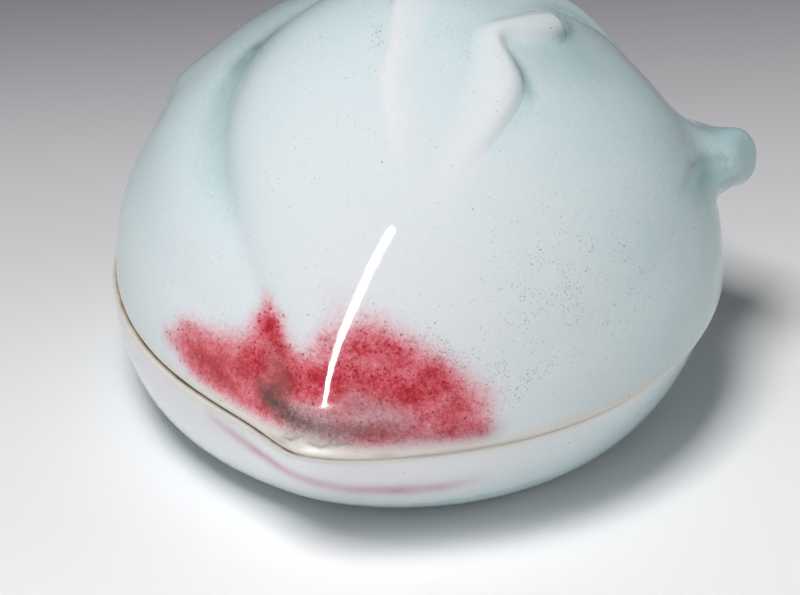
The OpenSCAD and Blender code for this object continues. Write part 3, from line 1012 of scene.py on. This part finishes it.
def lid_layers(points):
    """What the glaze, the pigments and the painted shade do at points on the lid, its leaf and its twig."""
    rise = points[:, 2] - SEAM
    a = heading_of(points)
    e = np.degrees(np.arctan2(rise, off_axis(points)))
    place = place_of(a, e)
    low = np.maximum(press(a, np.maximum(e, 0)), 0) / CLEFT_DEPTH
    flare = np.exp(-((from_tip(a) / FLARE_SPREAD) ** 2))
    near_leaf = e > LEAF_LOWEST
    white = np.zeros(len(points))
    _, white[near_leaf] = leaf_form(place[near_leaf])
    thick = glaze_slope(points, *LID_GLAZE) + LOW_POOL * low + DEEP_POOL * low**4
    thick += ROOT_POOL * round_spot(place, TWIG_ROOT, ROOT_RADIUS)
    lip_stain = LIP_STAIN * np.exp(-((rise / LID_STAIN_RISE) ** 2)) * on_lip(points)
    stains = on_skin(LID_STAIN, by_tip) + on_skin(BROWN_BELOW_ROLL, by_crown)
    iron = on_skin(LID_IRON, by_tip) + on_skin(LEAF_IRON, by_crown)
    # Smudges near the tip and the painted shade in the creases go into one grey-brown layer
    smoke = on_skin(LID_SMUDGE, by_tip) + on_skin(CREASE_SHADE, by_crown)
    return {
        "thick": thick * (1 - WHITE_THINS * white) + brushed(points, on_skin(LID_POOLS, by_crown)),
        "lip": LIP_CREAM * (1 - smooth((rise - LIP_BEGIN) / (LIP_FADE + FLARE_LIP * flare))),
        "copper": brushed(points, on_skin(LID_COPPER, by_tip)),
        "mauve": brushed(points, on_skin(LID_MAUVE, by_tip)),
        "iron": LID_IRON_LEAST + brushed(points, iron),
        "smoke": brushed(points, smoke),
        "stain": np.maximum(lip_stain, brushed(points, stains)),
    }


paint(lid, **lid_layers(points_of(lid)))
lid.data.materials.append(celadon)
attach(lid, "lid")
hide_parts("lid_shell")

# Twig
# The short cut stem of the peach, a rolled stub of clay luted into the stem hollow on the right.
# Slip was smoothed round its root, and glaze has pooled in the corner under it.

TWIG_RADIUS = 3.4
# Place, height over the skin and thickness in radii of each stop
TWIG_PATH = [((57.5, 48), -0.75, 0.8), ((61, 42), -0.1, 1), ((63, 38), 0.3, 1), ((64.5, 34.5), 0.9, 1)]
TWIG_CENTRE = np.array([62.3, 39.2])
TWIG_STEPS = 6
CUT_ROUND = 2.4
CUT_REACH = 3
CUT_DISH = 0.3
CUT_DISH_SHARE = 0.8

# Slip: how far it reaches round the stub, where it reaches further in front, and how the two meshes share it
SLIP_ABOVE = 4
SLIP_BELOW = 2
SLIP_FRONT = 4
FRONT_FROM = 0.3
FRONT_LEVEL = 0.6
FRONT_CLIMB = 1.4
SLIP_MOST = 3
BARE_WITHIN = 0.2
SHARED_FROM = 1.5
TWIG_OVER = 0.015
TWIG_SINK = 0.1
SINK_FROM = 0.2
SINK_WIDE = 3.5

TWIG_SIDES = 120
TWIG_RINGS = 120
UNDER_SKIN = 0.3
LEAST_FALL = 0.01
REACH_STEPS = 80
REACH_MOST = 13
REACH_HALVINGS = 10
SKIN_TOUCH = 0.01
START_UNDER = 0.1


def over_skin(points):
    """Height of points over the lid's skin."""
    rise = points[..., 2] - SEAM
    out = off_axis(points)
    return np.hypot(out, rise) - skin(heading_of(points), np.degrees(np.arctan2(rise, out)))


def softly(a, b, slip):
    """The lesser of two distances, with the corner between them filled by slip."""
    share = np.clip(0.5 + 0.5 * (b - a) / slip, 0, 1)
    return b + (a - b) * share - slip * share * (1 - share)


twig_points = [
    [*on_lid(np.array(place), height * TWIG_RADIUS), thick * TWIG_RADIUS]
    for place, height, thick in TWIG_PATH
]
twig_line = through(twig_points, TWIG_STEPS)
twig_end = twig_line[-1, :3]
twig_out = unit(twig_end - twig_line[-3, :3])
twig_heart = on_lid(TWIG_CENTRE, 0)


def twig_form(points):
    """Distance of points outside the bare stub, whose cut end is a little hollow."""
    away = np.full(points.shape[:-1], np.inf)
    for a, b in zip(twig_line, twig_line[1:]):
        share, offset = nearest(points, a[:3], b[:3])
        away = np.minimum(away, np.linalg.norm(offset, axis=-1) - a[3] - share * (b[3] - a[3]))
    ahead = (points - twig_end) @ twig_out
    aside = np.linalg.norm(points - twig_end - ahead[..., None] * twig_out, axis=-1)
    cut = ahead - CUT_REACH + CUT_DISH * np.maximum(0, 1 - (aside / TWIG_RADIUS / CUT_DISH_SHARE) ** 2)
    return -softly(-away, -cut, CUT_ROUND)


def twig_and_skin(points):
    """Distance of points outside the lid, the twig and the slip between them."""
    away = (points - twig_heart) / (2 * TWIG_RADIUS)
    back = away[..., 1]
    up = away[..., 2]
    slip = SLIP_BELOW + (SLIP_ABOVE - SLIP_BELOW) * smooth(0.5 + up)
    slip = slip + SLIP_FRONT * smooth(FRONT_FROM - back) * smooth(FRONT_LEVEL + FRONT_CLIMB * up)
    return softly(over_skin(points), twig_form(points), slip)


def way_out(start, ways, most):
    """Distance along each way from its start at which it first leaves the lid, the slip and the twig."""
    low = np.zeros(ways.shape[:-1])
    high = np.full(ways.shape[:-1], float(most))
    found = np.zeros(ways.shape[:-1], bool)
    for reach in np.linspace(0, most, REACH_STEPS + 1)[1:]:
        out_now = twig_and_skin(start + reach * ways) > 0
        high = np.where(out_now & ~found, reach, high)
        found |= out_now
        low = np.where(found, low, reach)
    for _ in range(REACH_HALVINGS):
        middle = (low + high) / 2
        out_now = twig_and_skin(start + middle[..., None] * ways) > 0
        high = np.where(out_now, middle, high)
        low = np.where(out_now, low, middle)
    return high


# The slip lies on the lid's skin too, up to the bare stub
lid_points = points_of(lid)
beside_twig = (twig_form(lid_points) < SLIP_ABOVE + SLIP_FRONT) & (lid_points[:, 2] > SEAM + SLIP_MOST)
slipped = np.flatnonzero(beside_twig & (np.abs(over_skin(lid_points)) < SKIN_TOUCH))
skin_points = lid_points[slipped]
outward = unit(skin_points - [0, 0, SEAM])
slip_rise = way_out(skin_points - START_UNDER * outward, outward, SLIP_MOST) - START_UNDER
to_bare = np.clip((twig_form(skin_points) - BARE_WITHIN) / (SHARED_FROM - BARE_WITHIN), 0, 1)
lid_points[slipped] += (slip_rise * (1 - (1 - to_bare) ** 3))[:, None] * outward
lid.data.vertices.foreach_set("co", (lid_points * MM).astype(np.float32).ravel())
lid.data.update()

# The stub is seen from its heart along spokes, which bend from its cut end to a little under the skin
twig_up = unit(on_lid(TWIG_CENTRE, 1) - twig_heart)
twig_ahead = unit(twig_end - twig_heart)
twig_side = unit(np.cross(twig_up, twig_ahead))
twig_over = np.cross(twig_ahead, twig_side)
turn = 360 * np.arange(TWIG_SIDES) / TWIG_SIDES
spokes = cosd(turn)[:, None] * twig_side + sind(turn)[:, None] * twig_over
ahead_up = twig_ahead @ twig_up
spoke_up = spokes @ twig_up
under = np.arccos(np.clip(-UNDER_SKIN / np.hypot(spoke_up, ahead_up), -1, 1))
last_turn = np.degrees(np.arctan2(spoke_up, ahead_up) + under)
shares = np.linspace(0, 1, TWIG_RINGS + 1)[:, None]
bend = (shares * last_turn)[..., None]
rays = cosd(bend) * twig_ahead + sind(bend) * spokes
to_lip = (twig_heart[2] - SEAM - SLIP_MOST) / np.maximum(-rays[..., 2], LEAST_FALL)
twig_reach = np.minimum(way_out(twig_heart, rays, REACH_MOST), to_lip)
twig_rings = twig_heart + twig_reach[..., None] * rays
twig_sink = TWIG_SINK * smooth((twig_form(twig_rings) - SINK_FROM) / SINK_WIDE)
twig_rings += (TWIG_OVER - twig_sink)[..., None] * twig_up
twig_ends = (twig_heart - twig_up, twig_rings[0, 0])
twig = add_mesh("glazed_twig", twig_rings[:0:-1], twig_ends)
paint(twig, **lid_layers(points_of(twig)))
twig.data.materials.append(celadon)
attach(twig, "lid")
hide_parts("twig")

# Leaf
# A leaf of clay with rolled edges, laid over the crown from the twig and pressed down at its tip.
# The glaze has run off its rolled edges, which show white, and lies blue on the blade between them.

LUTING = 0.4
LEAF_MARGIN = 2.5
LEAF_SINK = 0.05
LEAF_STEPS = 340
LEAF_COLUMNS = 120
UNDER_COLUMNS = 24
LEAF_REACH = 1.02

leaf_along = np.linspace(0, LEAF_REACH, LEAF_STEPS)[:, None]


def leaf_grid(columns):
    """Places on a grid that covers the leaf and a margin round it, from right to left."""
    share = np.linspace(1, -1, columns)[None, :]
    wide_right = leaf_half(leaf_along, RIGHT_HALF, RIGHT_FULL, RIGHT_WIDEST, RIGHT_TAPER) + LEAF_MARGIN
    wide_left = leaf_half(leaf_along, LEFT_HALF, LEFT_FULL, LEFT_WIDEST, LEFT_TAPER) + LEAF_MARGIN
    across = share * np.where(share > 0, wide_right, wide_left)
    return leaf_place(np.broadcast_to(leaf_along, across.shape), across)


leaf_places = leaf_grid(LEAF_COLUMNS)
leaf_rise, _ = leaf_form(leaf_places)
leaf_top = on_lid(leaf_places, leaf_rise - LEAF_SINK)
leaf_under = on_lid(leaf_grid(UNDER_COLUMNS), -LUTING)
leaf_rings = [np.vstack([top, under[::-1]]) for top, under in zip(leaf_top, leaf_under)]
leaf_ends = (on_lid(leaf_place(0, 0), -LUTING / 2), on_lid(leaf_place(LEAF_REACH, 0), -LUTING / 2))
leaf = add_mesh("glazed_leaf", leaf_rings, leaf_ends)
paint(leaf, **lid_layers(points_of(leaf)))
leaf.data.materials.append(celadon)
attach(leaf, "lid")
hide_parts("leaf")

# Paper
# The sheet of white paper on which the box stands. It is plain and matt, and greys towards the back.
# It is only there for the picture, so it belongs to the stage and not to the box.

PAPER_FRONT = tone(252, 252, 253)
PAPER_BACK = tone(116, 111, 121)
PAPER_TURN = 25.9
PAPER_ROUGH = 0.9
PAPER_HALF = 1500
GREY_FROM = -58
GREY_TO = 97
GREY_POWER = 2.14
GREY_SOFT = 0.5


def paper_looks(wire):
    """White paper in front, which goes over to grey along a direction to the back."""
    away = wire.node(
        "ShaderNodeVectorMath",
        {"operation": "DOT_PRODUCT"},
        {0: wire.place(), 1: (-sind(PAPER_TURN), cosd(PAPER_TURN), 0)},
        "Value",
    )
    share = (away / MM - GREY_FROM) / (GREY_TO - GREY_FROM)
    grey = share.maths("MAXIMUM", share, 0)
    faded = grey.maths("SMOOTH_MIN", grey.maths("POWER", grey, GREY_POWER), 1, GREY_SOFT)
    return {"Base Color": faded.blend(PAPER_FRONT, PAPER_BACK), "Roughness": PAPER_ROUGH}


paper_corners = PAPER_HALF * MM * np.array([(-1, -1, 0), (1, -1, 0), (1, 1, 0), (-1, 1, 0)])
paper_mesh = bpy.data.meshes.new("paper")
paper_mesh.from_pydata(paper_corners.tolist(), [], [(0, 1, 2, 3)])
paper = bpy.data.objects.new("paper", paper_mesh)
bpy.context.collection.objects.link(paper)
paper.data.materials.append(finish("grey_paper", paper_looks))

# Camera
# A long lens that looks down on the tip from the front, a little to the right.
# Its place was found from the outline and the seam of the box.

CAMERA_TURN = 19.08
CAMERA_RISE = 35.34
CAMERA_DISTANCE = 430
CAMERA_TARGET = np.array([-2.12, -0.73, 10.63])
LENS = 167.25
SENSOR_WIDTH = 36
NEAR_LIMIT = 10


def facing(turn, rise):
    """Direction to a lamp or the camera: turned from the front to the right, and raised from the table."""
    return np.array([sind(turn) * cosd(rise), -cosd(turn) * cosd(rise), sind(rise)])


camera_back = facing(CAMERA_TURN, CAMERA_RISE)
camera_eye = CAMERA_TARGET + CAMERA_DISTANCE * camera_back
camera_data = bpy.data.cameras.new("camera")
camera_data.lens = LENS
camera_data.sensor_width = SENSOR_WIDTH
camera_data.clip_start = NEAR_LIMIT * MM
camera = bpy.data.objects.new("camera", camera_data)
camera.location = Vector(camera_eye * MM)
camera.rotation_euler = Vector(-camera_back).to_track_quat("-Z", "Y").to_euler()
bpy.context.collection.objects.link(camera)
bpy.context.scene.camera = camera
bpy.context.scene.view_settings.view_transform = "Standard"

# Lamps
# Three large soft lamps, above, in front and at the right, which don't show in the glaze, and a dim room.
# Two slim strip lamps hang where the camera sees them mirrored on the lid, as one bright streak.

# Name, distance, turn and rise, size and power
LAMPS = [
    ("top_lamp", 700, (-14, 71), (240, 240), 3.8),
    ("front_lamp", 900, (-26, 15), (420, 420), 1.2),
    ("right_lamp", 900, (110, 20), (420, 420), 1.3),
]
# The streak, from its upper to its lower end: angle from the tip and height over the seam
STREAK = [(12.4, 22.4), (6, 15.6), (2.5, 7)]
STRIP_EXTRA = 0.08
STRIP_AWAY = 300
STRIP_WIDTHS = (11, 12)
STRIP_BRIGHTNESS = 0.0003
SPOT_TURN = 0.2
SPOT_RISE = 0.1
ROOM_LIGHT = 0.03


def add_lamp(name, middle, target, size, power):
    lamp = bpy.data.lights.new(name, "AREA")
    lamp.shape = "RECTANGLE"
    lamp.size = size[0] * MM
    lamp.size_y = size[1] * MM
    lamp.energy = power
    stand = bpy.data.objects.new(name, lamp)
    stand.location = Vector(middle * MM)
    stand.rotation_euler = Vector((target - middle) * MM).to_track_quat("-Z", "Y").to_euler()
    stand.visible_camera = False
    bpy.context.collection.objects.link(stand)
    return stand


def mirrored(turn, height):
    """Where a lamp has to hang for the camera to see it mirrored at a spot on the lid, and the spot."""
    spot = by_tip(turn, height)
    across = by_tip(turn + SPOT_TURN, height) - by_tip(turn - SPOT_TURN, height)
    upward = by_tip(turn, height + SPOT_RISE) - by_tip(turn, height - SPOT_RISE)
    normal = unit(np.cross(across, upward))
    view = unit(camera_eye - spot)
    return spot + STRIP_AWAY * (2 * (normal @ view) * normal - view), spot


for name, away, heading, size, power in LAMPS:
    lamp = add_lamp(name, away * facing(*heading), np.zeros(3), size, power)
    lamp.visible_glossy = False

strip_stops = [mirrored(*place) for place in STREAK]
for i, wide in enumerate(STRIP_WIDTHS):
    (low, low_spot), (high, high_spot) = strip_stops[i + 1], strip_stops[i]
    low = low + STRIP_EXTRA * (low - high)
    middle = (low + high) / 2
    long = np.linalg.norm(high - low)
    strip = add_lamp(f"strip_lamp_{i + 1}", middle, low_spot, (wide, long), wide * long * STRIP_BRIGHTNESS)
    up = unit(high - low)
    out = middle - (low_spot + high_spot) / 2
    front = unit(out - (out @ up) * up)
    strip.visible_diffuse = False
    strip.rotation_euler = Matrix((np.cross(up, front), up, front)).transposed().to_euler()

world = bpy.data.worlds.new("room")
world.use_nodes = True
room = world.node_tree.nodes["Background"].inputs
room["Color"].default_value = (1, 1, 1, 1)
room["Strength"].default_value = ROOM_LIGHT
bpy.context.scene.world = world
